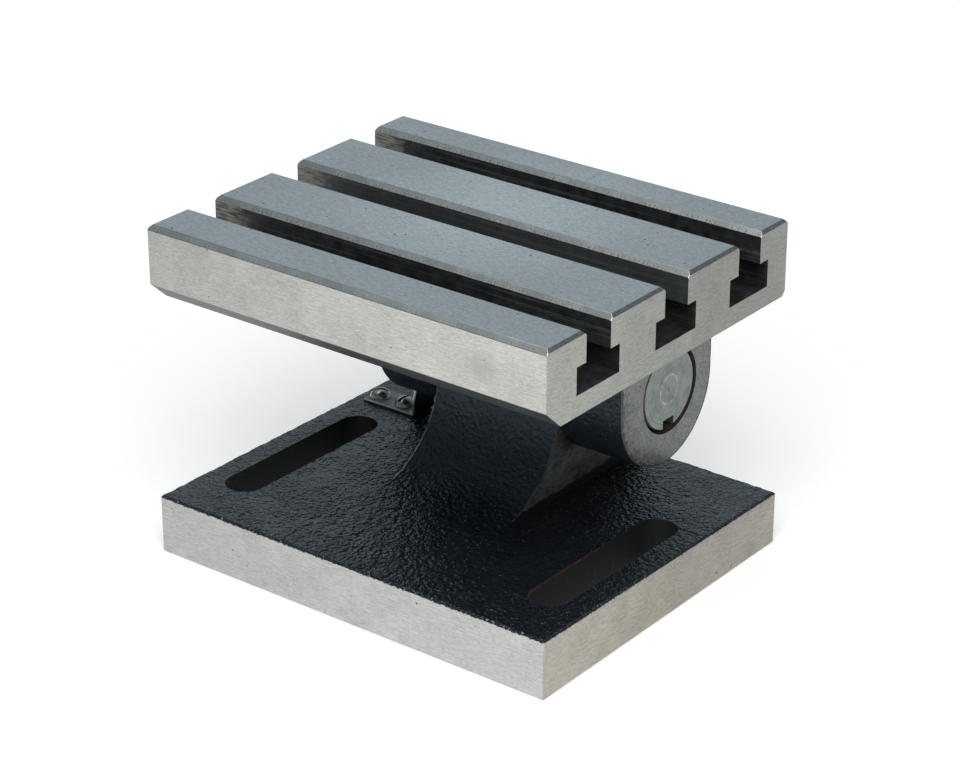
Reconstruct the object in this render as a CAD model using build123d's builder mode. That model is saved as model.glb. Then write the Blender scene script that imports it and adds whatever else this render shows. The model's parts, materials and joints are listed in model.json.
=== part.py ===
from build123d import *
from math import radians, sqrt, tan
import os

# Tilting angle plate: a slotted base with a pedestal, and a T-slotted table hinged on it.
# X runs along the T-slots and the hinge, Y from front to back, Z up.
# The origin is the middle of the base's underside. Sizes are in millimetres.

# Driving dimensions of both plates
plate_length = 178.0
plate_width = 146.0
base_front_thickness = 23.6
base_back_thickness = 21.5
table_thickness = 30.2
table_underside = 102.0
cast_edge = 0.8
bottom_edge = 0.6

# Hinge, pedestal and ears
hinge_height = 65.0
hinge_from_back = 26.8
pedestal_width = 57.0
knuckle_radius = 27.2
knuckle_from_back = 0.6
flare_radius = 38.0
right_ear_width = 29.3
left_ear_width = 27.9
ear_radius = 29.1
ear_root_fillet = 5.0
ear_side_clearance = 0.15

# T-slots of the table
slot_count = 3
slot_pitch = 46.0
slot_shift = 2.1
throat_width = 14.0
lip_height = 12.0
tee_width = 24.6
tee_height = 10.5
table_edge = 1.8
table_end_edge = 1.1
table_front_bevel = 8.0
table_back_bevel = 2.0

# Clamping slots of the base
clamp_slot_width = 15.7
clamp_slot_length = 81.5
clamp_slot_from_end = 17.8
clamp_slot_centre = -12.5

# Hinge bolt with its key, washer and nut
shank_diameter = 20.0
running_clearance = 0.15
thread_clearance = 0.1
head_diameter = 32.0
head_thickness = 10.0
head_edge = 0.5
head_recess = 0.4
counterbore_diameter = 34.6
notch_width = 6.9
notch_depth = 4.1
key_clearance = 0.2
key_height_in_notch = 6.0
key_seat_depth = 6.0
washer_diameter = 37.0
washer_thickness = 4.0
washer_edge = 0.5
nut_across_flats = 30.0
nut_height = 16.0
nut_chamfer = 1.4
nut_chamfer_angle = 30.0
bolt_end_projection = 4.0
bolt_end_chamfer = 1.8

# Index pointer and its two screws
sheet_thickness = 1.2
pointer_gap = 0.8
pointer_from_hinge = 1.2
pointer_foot_length = 25.0
pointer_width = 12.8
pointer_straight = 5.5
pointer_tip_width = 5.0
pointer_overlap = 6.0
pointer_bend_radius = 0.8
screw_spacing = 12.6
screw_from_leg = 8.6
screw_diameter = 4.0
screw_length = 14.0
screw_clearance = 0.1
screw_head_diameter = 8.6
screw_head_height = 3.2
screw_slot_width = 1.1
screw_slot_depth = 1.5
screw_turns = (88.0, 4.0)

# Places worked out from the driving dimensions
table_top = table_underside + table_thickness
hinge_y = plate_width / 2 - hinge_from_back
knuckle_y = plate_width / 2 - knuckle_from_back - knuckle_radius
ear_y = plate_width / 2 - ear_radius
ear_inside = pedestal_width / 2 + ear_side_clearance
right_ear_end = ear_inside + right_ear_width
left_ear_end = ear_inside + left_ear_width
head_seat = right_ear_end - head_recess - head_thickness
bolt_end = -(left_ear_end + washer_thickness + nut_height + bolt_end_projection)
key_width = notch_width - 2 * key_clearance
key_top = hinge_height - head_diameter / 2 + notch_depth - key_clearance
key_bottom = hinge_height - sqrt((counterbore_diameter / 2) ** 2 - (key_width / 2) ** 2) + key_clearance
pointer_back = -(left_ear_end + pointer_gap)
pointer_front = pointer_back - sheet_thickness
screw_first = pointer_front - screw_from_leg
hinge_line = Plane(origin=(0, hinge_y, hinge_height), x_dir=(0, 1, 0), z_dir=(1, 0, 0))

# The base's top was left as cast, and falls a little from front to back
base_fall = (base_front_thickness - base_back_thickness) / plate_width


def base_top(y):
    return base_front_thickness - base_fall * (y + plate_width / 2)


pointer_y = hinge_y - pointer_from_hinge
pointer_seat = Plane(origin=(0, pointer_y, base_top(pointer_y)), x_dir=(1, 0, 0), z_dir=(0, base_fall, 1))
screw_places = [(screw_first, 0), (screw_first - screw_spacing, 0)]

# Base casting: the plate with the pedestal standing at its back
with BuildPart() as base:
    with BuildSketch(Plane.YZ):
        with BuildLine():
            Polyline(
                (-plate_width / 2, 0),
                (plate_width / 2, 0),
                (plate_width / 2, base_back_thickness),
                (-plate_width / 2, base_front_thickness),
                close=True,
            )
        make_face()
    extrude(amount=plate_length / 2, both=True)
    chamfer(base.faces().sort_by(Axis.Z)[-1].edges(), length=cast_edge)
    chamfer(base.faces().sort_by(Axis.Z)[0].edges(), length=bottom_edge)

    # The pedestal sweeps up from the plate in a concave flare and ends in a round knuckle
    front = knuckle_y - knuckle_radius
    back = knuckle_y + knuckle_radius
    toe = front - flare_radius
    flare_top = base_top(toe) + flare_radius
    root = base_back_thickness / 2
    with BuildSketch(Plane.YZ):
        with BuildLine():
            CenterArc((toe, flare_top), flare_radius, -90, 90)
            Line((front, flare_top), (front, hinge_height))
            CenterArc((knuckle_y, hinge_height), knuckle_radius, 0, 180)
            Polyline((back, hinge_height), (back, root), (toe, root), (toe, base_top(toe)))
        make_face()
    extrude(amount=pedestal_width / 2, both=True)

    # Two clamping slots, right through the plate
    with BuildSketch(Plane.XY):
        with Locations((0, clamp_slot_centre)):
            with GridLocations(plate_length - 2 * clamp_slot_from_end, 1, 2, 1):
                SlotOverall(clamp_slot_length, clamp_slot_width, rotation=90)
    extrude(amount=base_front_thickness, mode=Mode.SUBTRACT)

    # Hinge bore, and the two holes of the pointer's screws
    with Locations(hinge_line.offset(pedestal_width / 2)):
        Hole(radius=shank_diameter / 2 + running_clearance)
    with Locations(pointer_seat):
        with Locations(*screw_places):
            Hole(radius=screw_diameter / 2 + screw_clearance, depth=screw_length)
base.part.label = "base"

# Table casting: the T-slotted plate with a hinge ear on each side of the pedestal
with BuildPart() as table:
    with BuildSketch(Plane.YZ):
        with Locations((0, table_underside + table_thickness / 2)):
            Rectangle(plate_width, table_thickness)
        with Locations((slot_shift, table_top - lip_height / 2)):
            with GridLocations(slot_pitch, 1, slot_count, 1):
                Rectangle(throat_width, lip_height, mode=Mode.SUBTRACT)
        with Locations((slot_shift, table_top - lip_height - tee_height / 2)):
            with GridLocations(slot_pitch, 1, slot_count, 1):
                Rectangle(tee_width, tee_height, mode=Mode.SUBTRACT)
    extrude(amount=plate_length / 2, both=True)
    chamfer(table.edges().group_by(Axis.Z)[-1].filter_by(Axis.X), length=table_edge)
    chamfer(table.edges().group_by(Axis.Z)[-1].filter_by(Axis.Y), length=table_end_edge)
    bottom_sides = table.edges().filter_by(Axis.X).group_by(Axis.Z)[0].sort_by(Axis.Y)
    chamfer(bottom_sides[0], length=table_front_bevel)
    chamfer(bottom_sides[-1], length=table_back_bevel)

    # The ears hang from the underside and end in a half round, with a fillet at the root of each front
    ear_reach = table_underside + table_back_bevel - hinge_height
    for inside, width in ((ear_inside, right_ear_width), (-ear_inside, -left_ear_width)):
        with BuildSketch(Plane.YZ.offset(inside)):
            with Locations((ear_y, hinge_height)):
                Circle(ear_radius)
            with Locations((ear_y, hinge_height + ear_reach / 2)):
                Rectangle(2 * ear_radius, ear_reach)
        extrude(amount=width)
    ear_front = ear_y - ear_radius
    front_edges = table.edges().filter_by(Axis.X).filter_by_position(Axis.Y, ear_front - 0.1, ear_front + 0.1)
    root_edges = front_edges.filter_by_position(Axis.Z, table_underside - 0.1, table_underside + 0.1)
    fillet(root_edges, radius=ear_root_fillet)

    # Bore through both ears, with the bolt head's counterbore in the right one and a seat for its key
    with Locations(hinge_line.offset(right_ear_end)):
        CounterBoreHole(
            radius=shank_diameter / 2 + thread_clearance,
            counter_bore_radius=counterbore_diameter / 2,
            counter_bore_depth=head_recess + head_thickness,
        )
    with BuildSketch(Plane.YZ.offset(head_seat - key_seat_depth)):
        with Locations((hinge_y, (key_bottom + key_top) / 2)):
            Rectangle(key_width, key_top - key_bottom)
    extrude(amount=key_seat_depth, mode=Mode.SUBTRACT)
table.part.label = "table"

# Hinge and clamp bolt: a turned round head with a notch, and a shank threaded at its left end
with BuildPart() as pivot_bolt:
    with BuildSketch(hinge_line.offset(head_seat)):
        Circle(head_diameter / 2)
    extrude(amount=head_thickness)
    chamfer(pivot_bolt.edges().group_by(Axis.X)[-1], length=head_edge)
    with BuildSketch(hinge_line.offset(head_seat)):
        Circle(shank_diameter / 2)
    extrude(amount=bolt_end - head_seat)
    chamfer(pivot_bolt.edges().group_by(Axis.X)[0], length=bolt_end_chamfer)
    with BuildSketch(hinge_line.offset(head_seat)):
        with Locations((0, -head_diameter / 2)):
            Rectangle(notch_width, 2 * notch_depth)
    extrude(amount=head_thickness, mode=Mode.SUBTRACT)
pivot_bolt.part.label = "pivot_bolt"

# Key that stands from the counterbore's floor into the notch of the bolt head
with BuildPart() as bolt_key:
    with BuildSketch(Plane.YZ.offset(head_seat - key_seat_depth)):
        with Locations((hinge_y, (key_bottom + key_top) / 2)):
            Rectangle(key_width, key_top - key_bottom)
    extrude(amount=key_seat_depth + key_height_in_notch)
bolt_key.part.label = "bolt_key"

# Thick washer between the left ear and the nut
with BuildPart() as clamp_washer:
    with BuildSketch(hinge_line.offset(-left_ear_end)):
        Circle(washer_diameter / 2)
        Circle(shank_diameter / 2 + thread_clearance, mode=Mode.SUBTRACT)
    extrude(amount=-washer_thickness)
    chamfer(clamp_washer.edges().group_by(Axis.X)[0].sort_by(SortBy.RADIUS)[-1], length=washer_edge)
clamp_washer.part.label = "clamp_washer"

# Hexagon nut, its corners turned off at both ends
with BuildPart() as clamp_nut:
    nut_seat = -(left_ear_end + washer_thickness)
    nut_corner = nut_across_flats / sqrt(3)
    nut_face = nut_corner - nut_chamfer / tan(radians(nut_chamfer_angle))
    with BuildSketch(hinge_line.offset(nut_seat)):
        RegularPolygon(nut_across_flats / 2, 6, major_radius=False)
    extrude(amount=-nut_height)
    with BuildSketch(Plane(origin=(nut_seat, hinge_y, hinge_height), x_dir=(-1, 0, 0), z_dir=(0, 1, 0))):
        with BuildLine():
            Polyline(
                (0, 0),
                (0, nut_face),
                (nut_chamfer, nut_corner),
                (nut_height - nut_chamfer, nut_corner),
                (nut_height, nut_face),
                (nut_height, 0),
                close=True,
            )
        make_face()
    revolve(axis=Axis((0, hinge_y, hinge_height), (1, 0, 0)), mode=Mode.INTERSECT)
    with Locations(hinge_line.offset(nut_seat)):
        Hole(radius=shank_diameter / 2 + thread_clearance)
clamp_nut.part.label = "clamp_nut"

# Index pointer: a strip bent up beside the left ear, its leg tapered towards the scale
with BuildPart() as index_pointer:
    foot_end = pointer_front - pointer_foot_length
    tip_height = hinge_height - ear_radius + pointer_overlap - pointer_seat.origin.Z
    strip_side = Plane(origin=pointer_seat.origin, x_dir=(1, 0, 0), z_dir=-pointer_seat.y_dir)
    with BuildSketch(strip_side) as strip:
        with BuildLine():
            Polyline(
                (foot_end, 0),
                (pointer_back, 0),
                (pointer_back, tip_height),
                (pointer_front, tip_height),
                (pointer_front, sheet_thickness),
                (foot_end, sheet_thickness),
                close=True,
            )
        make_face()
        bend_outside = strip.vertices().group_by(Axis.Y)[0].sort_by(Axis.X)[-1]
        bend_inside = strip.vertices().group_by(Axis.Y)[1].sort_by(Axis.X)[-1]
        fillet(bend_outside, radius=pointer_bend_radius + sheet_thickness)
        fillet(bend_inside, radius=pointer_bend_radius)
    extrude(amount=pointer_width / 2, both=True)
    taper_start = sheet_thickness + pointer_straight
    leg_origin = pointer_seat.origin + Vector(pointer_back, 0, 0)
    with BuildSketch(Plane(origin=leg_origin, x_dir=pointer_seat.y_dir, z_dir=(1, 0, 0))):
        with BuildLine():
            Polyline(
                (-pointer_width / 2, 0),
                (pointer_width / 2, 0),
                (pointer_width / 2, taper_start),
                (pointer_tip_width / 2, tip_height),
                (-pointer_tip_width / 2, tip_height),
                (-pointer_width / 2, taper_start),
                close=True,
            )
        make_face()
    extrude(amount=foot_end - pointer_back, mode=Mode.INTERSECT)
    with Locations(pointer_seat.offset(sheet_thickness)):
        with Locations(*screw_places):
            Hole(radius=screw_diameter / 2 + screw_clearance)
index_pointer.part.label = "index_pointer"

# One round-head slotted screw, its seat at the origin
with BuildPart() as screw:
    with BuildSketch(Plane.XZ):
        with BuildLine():
            head_radius = screw_head_diameter / 2
            head_sphere = (head_radius**2 + screw_head_height**2) / (2 * screw_head_height)
            RadiusArc((0, screw_head_height), (head_radius, 0), head_sphere)
            Polyline((head_radius, 0), (0, 0), (0, screw_head_height))
        make_face()
    revolve(axis=Axis.Z)
    with BuildSketch(Plane.XY):
        Circle(screw_diameter / 2)
    extrude(amount=-screw_length)
    with BuildSketch(Plane.XY.offset(screw_head_height)):
        Rectangle(screw_head_diameter, screw_slot_width)
    extrude(amount=-screw_slot_depth, mode=Mode.SUBTRACT)

# The pair of screws, their slots left where each came tight
with BuildPart() as index_screws:
    with Locations(pointer_seat.offset(sheet_thickness)):
        for place, turn in zip(screw_places, screw_turns):
            with Locations(Location(place, turn)):
                add(screw.part)
index_screws.part.label = "index_screws"

os.makedirs("parts", exist_ok=True)
export_step(base.part, "parts/base.step")
export_step(table.part, "parts/table.step")
export_step(pivot_bolt.part, "parts/pivot_bolt.step")
export_step(bolt_key.part, "parts/bolt_key.step")
export_step(clamp_washer.part, "parts/clamp_washer.step")
export_step(clamp_nut.part, "parts/clamp_nut.step")
export_step(index_pointer.part, "parts/index_pointer.step")
export_step(index_screws.part, "parts/index_screws.step")
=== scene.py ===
import json
from math import atan2, ceil, cos, pi, radians, sin, sqrt

import bmesh
import bpy
from mathutils import Matrix, Vector, noise


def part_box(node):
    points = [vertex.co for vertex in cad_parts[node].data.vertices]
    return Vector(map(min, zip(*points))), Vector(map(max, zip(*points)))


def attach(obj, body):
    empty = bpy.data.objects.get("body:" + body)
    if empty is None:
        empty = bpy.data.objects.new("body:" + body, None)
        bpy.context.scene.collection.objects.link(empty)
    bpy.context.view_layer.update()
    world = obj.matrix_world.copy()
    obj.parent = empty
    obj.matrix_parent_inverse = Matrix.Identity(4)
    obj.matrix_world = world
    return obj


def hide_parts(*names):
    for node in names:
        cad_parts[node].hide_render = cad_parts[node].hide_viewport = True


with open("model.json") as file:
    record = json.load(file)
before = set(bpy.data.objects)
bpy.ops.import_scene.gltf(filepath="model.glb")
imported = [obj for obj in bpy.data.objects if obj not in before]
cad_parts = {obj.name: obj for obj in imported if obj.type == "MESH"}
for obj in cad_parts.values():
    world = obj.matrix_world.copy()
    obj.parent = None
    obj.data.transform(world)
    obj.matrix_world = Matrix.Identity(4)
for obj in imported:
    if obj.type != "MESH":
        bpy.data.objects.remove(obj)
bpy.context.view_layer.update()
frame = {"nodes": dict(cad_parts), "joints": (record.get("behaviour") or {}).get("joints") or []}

# Tilting angle plate: a slotted iron base with a pedestal, and a T-slotted table hinged on it.
# The frame is in metres: X along the T-slots and the hinge, Y from front to back, Z up.

# Base
# One grey-iron casting, plate and pedestal together, painted black over its rough sand-cast skin.
# Its sides and underside are milled bare, and so are the pedestal's flanks, where the ears bear.
mm = 0.001
base_low, base_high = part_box("base")
hinge = Vector(next(joint["pos_m"] for joint in frame["joints"] if joint["name"] == "table_tilt"))
pedestal_half = 28.5 * mm
base_front_top = 23.6 * mm
base_back_top = 21.5 * mm
cast_edge = 0.8 * mm
corner_round = 0.35 * mm
near = 0.1 * mm
weld_gap = 0.0005 * mm
cut_gap = 0.01 * mm
skin_step = 1.0 * mm
skin_lump = 3.0 * mm
skin_height = 0.24 * mm
calm_skin = 0.4
base_ragged = 0.5 * mm
end_chips = [Vector(chip) * mm for chip in ((89, 33.9, 3.9), (89, 44.0, 2.4), (89, 53.0, 0.4))]
chip_radius = 0.55 * mm


def welded_copy(node):
    """A copy of a node's mesh with its triangles welded, each flat face in one piece."""
    bm = bmesh.new()
    bm.from_mesh(frame["nodes"][node].data)
    bmesh.ops.remove_doubles(bm, verts=bm.verts, dist=weld_gap)
    bmesh.ops.dissolve_limit(bm, angle_limit=radians(0.5), verts=bm.verts, edges=bm.edges)
    bm.normal_update()
    return bm


def edge_faces_differ(edge, angle):
    return len(edge.link_faces) == 2 and edge.calc_face_angle(0.0) > angle


def finishes_at(edge):
    return {face.material_index for face in edge.link_faces}


def round_edges(bm, edges, radius, material=None):
    """Takes the sharpness off the edges, and gives the narrow new faces a material of their own."""
    made = bmesh.ops.bevel(
        bm, geom=edges, offset=radius, offset_type="OFFSET", segments=2, profile=0.5,
        affect="EDGES", clamp_overlap=False, material=-1,
    )
    if material is not None:
        for face in made["faces"]:
            face.material_index = material
    bm.normal_update()


def dice(bm, kinds, axis, step):
    """Cuts the faces of the given materials across an axis, every step."""
    ahead = [face for face in bm.faces if face.material_index in kinds]
    reach = [vert.co[axis] for face in ahead for vert in face.verts]
    across = Vector((axis == 0, axis == 1, axis == 2))
    end_room = 0.3
    place = ceil(min(reach) / step + end_room) * step
    while place < max(reach) - end_room * step:
        edges = dict.fromkeys(edge for face in ahead for edge in face.edges)
        cut = bmesh.ops.bisect_plane(
            bm, geom=ahead + list(edges), dist=cut_gap, plane_co=across * place, plane_no=across,
        )
        faces = [part for part in cut["geom"] if isinstance(part, bmesh.types.BMFace)]
        ahead = [
            face for face in faces
            if max(vert.co[axis] for vert in face.verts) > place + 2 * cut_gap
        ]
        place += step


def cast_skin(bm, material, ragged, walls=()):
    """Lumps one material's faces as sand-cast skin, calmer above the plate, ragged at bare metal."""
    for axis, upright in enumerate((walls, walls, ())):
        dice(bm, {material, *upright}, axis, skin_step)
    bm.normal_update()
    skin = [face for face in bm.faces if face.material_index == material]
    for vert in {vert for face in skin for vert in face.verts}:
        cast = [face.normal for face in vert.link_faces if face.material_index == material]
        bare = [face.normal for face in vert.link_faces if face.material_index != material]
        out = sum(cast, Vector()).normalized()
        for normal in bare:
            out -= normal * out.dot(normal)
        fine = noise.noise(vert.co / (0.45 * skin_lump))
        lump = skin_height * (noise.noise(vert.co / skin_lump) + 0.6 * fine)
        if bare:
            at_wall = any(face.material_index in walls for face in vert.link_faces)
            lump = 0.3 * skin_height * fine if at_wall else ragged * fine
        elif vert.co.z > base_front_top + skin_step:
            lump *= calm_skin
        vert.co += out * lump


def piece_from(bm, name, materials, smooth_angle=radians(32)):
    """The finished piece, its object at the origin, its flats left flat and its rounds smooth."""
    for face in bm.faces:
        face.smooth = True
    for edge in bm.edges:
        one_finish = len(finishes_at(edge)) == 1
        edge.smooth = one_finish and edge.calc_face_angle(0.0) < smooth_angle
    mesh = bpy.data.meshes.new(name)
    bm.to_mesh(mesh)
    bm.free()
    for material in materials:
        mesh.materials.append(material)
    piece = bpy.data.objects.new(name, mesh)
    bpy.context.scene.collection.objects.link(piece)
    return piece


def add(tree, kind, values, **settings):
    """A shader node with its settings, its inputs given as plain values or as other nodes' outputs."""
    made = tree.nodes.new(kind if kind.startswith("NodeGroup") else "ShaderNode" + kind)
    for name, value in settings.items():
        setattr(made, name, value)
    for name, value in values.items():
        if isinstance(value, bpy.types.NodeSocket):
            tree.links.new(value, made.inputs[name])
        else:
            made.inputs[name].default_value = value
    return made


def calc(tree, operation, a, b=0.0, c=0.0):
    return add(tree, "Math", {0: a, 1: b, 2: c}, operation=operation).outputs[0]


def times(tree, a, b):
    return calc(tree, "MULTIPLY", a, b)


def scaled(tree, value, scale, start):
    return calc(tree, "MULTIPLY_ADD", value, scale, start)


def distance(tree, place, point):
    return add(tree, "VectorMath", {0: place, 1: point}, operation="DISTANCE").outputs["Value"]


def apart(tree, place):
    """A place's three coordinates, one by one."""
    return add(tree, "SeparateXYZ", {0: place}).outputs


def ramp(tree, value, low, high):
    """From 0 at low to 1 at high, softly, and flat beyond."""
    values = {"Value": value, "From Min": low, "From Max": high}
    return add(tree, "MapRange", values, interpolation_type="SMOOTHSTEP").outputs[0]


def mixed(tree, factor, a, b):
    return add(tree, "Mix", {0: factor, 6: a, 7: b}, data_type="RGBA").outputs[2]


def brightened(tree, colour, share):
    """The colour made brighter by a share of itself."""
    factor = calc(tree, "ADD", share, 1.0)
    return add(tree, "VectorMath", {0: colour, "Scale": factor}, operation="SCALE").outputs[0]


def shade(red, green, blue):
    return (red, green, blue, 1.0)


def grain(tree, vector, size, detail=2.0, roughness=0.5):
    values = {"Vector": vector, "Scale": 1 / size, "Detail": detail, "Roughness": roughness}
    return add(tree, "TexNoise", values).outputs[0]


def new_group(name, inputs, outputs):
    """An empty shader node group with named number inputs, a Vector input and the given outputs."""
    group = bpy.data.node_groups.new(name, "ShaderNodeTree")
    group.interface.new_socket("Vector", in_out="INPUT", socket_type="NodeSocketVector")
    for socket in inputs:
        group.interface.new_socket(socket, in_out="INPUT", socket_type="NodeSocketFloat")
    for socket in outputs:
        group.interface.new_socket(socket, in_out="OUTPUT", socket_type="NodeSocketFloat")
    return group, add(group, "NodeGroupInput", {}).outputs


def pit_group():
    """Scattered round spots, few of them large: pits in iron, or specks of dust on paint."""
    group, given = new_group("scattered_pits", ["Cells per metre", "Largest"], ["Mask"])
    cells = add(group, "TexVoronoi", {"Vector": given["Vector"], "Scale": given["Cells per metre"]})
    chance = add(group, "SeparateColor", {0: cells.outputs["Color"]}).outputs[0]
    size = times(group, calc(group, "POWER", chance, 3.0), given["Largest"])
    inner = times(group, size, 0.55)
    mask = ramp(group, cells.outputs["Distance"], size, inner)
    add(group, "NodeGroupOutput", {"Mask": mask})
    return group


def streak_group():
    """Fine cutter marks that run level along every upright face."""
    group, given = new_group("milling_streaks", ["Length", "Height"], ["Streak"])
    place = apart(group, given["Vector"])
    along = calc(group, "DIVIDE", calc(group, "ADD", place[0], place[1]), given["Length"])
    up = calc(group, "DIVIDE", place[2], given["Height"])
    stretched = add(group, "CombineXYZ", {0: along, 1: up}).outputs[0]
    streak = grain(group, stretched, 1.0, detail=3.0, roughness=0.6)
    add(group, "NodeGroupOutput", {"Streak": streak})
    return group


scattered_pits = pit_group()
milling_streaks = streak_group()


def pits(tree, vector, per_metre, largest):
    values = {"Vector": vector, "Cells per metre": per_metre, "Largest": largest}
    return add(tree, "Group", values, node_tree=scattered_pits).outputs[0]


def streaks(tree, vector, length, height):
    values = {"Vector": vector, "Length": length, "Height": height}
    return add(tree, "Group", values, node_tree=milling_streaks).outputs[0]


def new_material(name):
    """A material with its node tree, its Principled shader and its Object coordinates."""
    material = bpy.data.materials.new(name)
    material.use_nodes = True
    tree = material.node_tree
    shader = tree.nodes["Principled BSDF"]
    return material, tree, shader, add(tree, "TexCoord", {}).outputs["Object"]


def finish_shader(tree, shader, colour, roughness, height, depth, metallic=0.0):
    """Joins the colour, the roughness and a relief of the given depth to the shader."""
    shader.inputs["Metallic"].default_value = metallic
    tree.links.new(colour, shader.inputs["Base Color"])
    tree.links.new(roughness, shader.inputs["Roughness"])
    bump = add(tree, "Bump", {"Height": height, "Distance": depth, "Strength": 1.0})
    tree.links.new(bump.outputs[0], shader.inputs["Normal"])


def black_paint():
    """Black enamel on sand-cast iron: dusty, rough in patches, rubbed at the pedestal's edges, and
    painted lighter above the plate as painted light.
    """
    material, tree, shader, place = new_material("black_cast_paint")
    xyz = apart(tree, place)
    lumps = grain(tree, place, 1.7 * mm, detail=1.0, roughness=0.5)
    tone = grain(tree, place, 9 * mm, detail=3.0)
    colour = mixed(tree, tone, shade(0.0064, 0.0082, 0.011), shade(0.0134, 0.0174, 0.0232))
    raised = ramp(tree, xyz[2], base_front_top + 0.5 * mm, base_front_top + 6 * mm)
    # Painted light: the paint above the plate, on the pedestal and the ears, is painted lighter.
    colour = brightened(tree, colour, times(tree, raised, 0.95))
    specks = pits(tree, place, 640.0, 0.24)
    colour = mixed(tree, times(tree, specks, 0.7), colour, shade(0.20, 0.22, 0.23))
    from_edge = calc(tree, "SUBTRACT", calc(tree, "ABSOLUTE", xyz[0]), pedestal_half)
    from_edge = calc(tree, "ABSOLUTE", from_edge)
    standing = ramp(tree, xyz[2], base_front_top + 0.2 * mm, base_front_top + 0.7 * mm)
    left = ramp(tree, xyz[0], 0.0, -5 * mm)
    patchy = ramp(tree, grain(tree, place, 3 * mm, detail=3.0), 0.36, 0.52)
    on_pedestal = ramp(tree, xyz[2], base_high.z + 1 * mm, base_high.z)
    rubbed = times(tree, ramp(tree, from_edge, 0.8 * mm, 0.35 * mm), on_pedestal)
    rubbed = times(tree, times(tree, rubbed, standing), patchy)
    rubbed = times(tree, rubbed, scaled(tree, left, 0.8, 0.2))
    high_up = ramp(tree, xyz[2], 44 * mm, 52 * mm)
    bare = mixed(tree, high_up, shade(0.30, 0.34, 0.36), shade(0.12, 0.06, 0.045))
    colour = mixed(tree, rubbed, colour, bare)
    fine = grain(tree, place, 0.45 * mm, detail=2.0)
    roughness = scaled(tree, raised, 0.20, scaled(tree, tone, 0.12, 0.19))
    rough_patch = ramp(tree, grain(tree, place, 14 * mm, detail=2.0), 0.36, 0.62)
    relief = scaled(tree, raised, calm_skin - 1.0, 1.0)
    relief = times(tree, relief, scaled(tree, rough_patch, 0.4, 0.8))
    height = times(tree, scaled(tree, fine, 0.05, lumps), relief)
    finish_shader(tree, shader, colour, roughness, height, 1.15 * mm)
    shader.inputs["Specular IOR Level"].default_value = 0.64
    shader.inputs["Specular Tint"].default_value = shade(0.78, 0.93, 1.0)
    return material


def milled_iron(name, light, dark, painted_light_front=0.0, painted_shade_left=0.0, stain=None, rim=False, chips=()):
    """Bare milled iron with level cutter marks and pits, here and there oil, paint or chips, and
    painted light and shade: lighter towards the front, darker towards the left.
    """
    material, tree, shader, place = new_material(name)
    xyz = apart(tree, place)
    marks = streaks(tree, place, 6.0 * mm, 0.42 * mm)
    fine = streaks(tree, place, 1.6 * mm, 0.30 * mm)
    clouds = grain(tree, place, 15 * mm, detail=3.0)
    mark = scaled(tree, fine, 0.45, times(tree, marks, 0.4))
    mark = ramp(tree, scaled(tree, clouds, 0.15, mark), 0.33, 0.66)
    colour = mixed(tree, mark, dark, light)
    to_front = ramp(tree, xyz[1], 30 * mm, base_low.y)
    # Painted light: the colour is made lighter towards the front.
    colour = brightened(tree, colour, times(tree, to_front, painted_light_front))
    to_left = ramp(tree, xyz[0], 0.6 * base_high.x, base_low.x)
    # Painted shade: the colour is made darker towards the left end.
    colour = brightened(tree, colour, times(tree, to_left, -painted_shade_left))
    holes = pits(tree, place, 300.0, 0.14)
    for chip in chips:
        away = distance(tree, place, chip)
        away = scaled(tree, grain(tree, place, 0.6 * mm), 0.6 * mm, away)
        holes = calc(tree, "MAXIMUM", holes, ramp(tree, away, chip_radius + 0.4 * mm, chip_radius))
    colour = mixed(tree, times(tree, holes, 0.9), colour, shade(0.045, 0.040, 0.036))
    if stain is not None:
        away = distance(tree, place, stain)
        away = scaled(tree, grain(tree, place, 4 * mm, detail=3.0), 9 * mm, away)
        oily = times(tree, ramp(tree, away, 14 * mm, 6 * mm), 0.55)
        colour = mixed(tree, oily, colour, dark)
    if rim:
        fall = (base_back_top - base_front_top) / (base_high.y - base_low.y)
        level = base_front_top - cast_edge - fall * base_low.y
        line = scaled(tree, xyz[1], fall, level)
        runs = grain(tree, place, 1.0 * mm, detail=3.0, roughness=0.6)
        drip = scaled(tree, runs, 2.8 * mm, -1.2 * mm)
        above = calc(tree, "ADD", calc(tree, "SUBTRACT", xyz[2], line), drip)
        paint = ramp(tree, above, -0.05 * mm, 0.15 * mm)
        colour = mixed(tree, paint, colour, shade(0.010, 0.012, 0.014))
        tree.links.new(calc(tree, "SUBTRACT", 1.0, paint), shader.inputs["Metallic"])
    roughness = scaled(tree, mark, -0.12, 0.50)
    height = calc(tree, "SUBTRACT", mark, times(tree, holes, 3.0))
    finish_shader(tree, shader, colour, roughness, height, 0.02 * mm, metallic=1.0)
    return material


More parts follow.
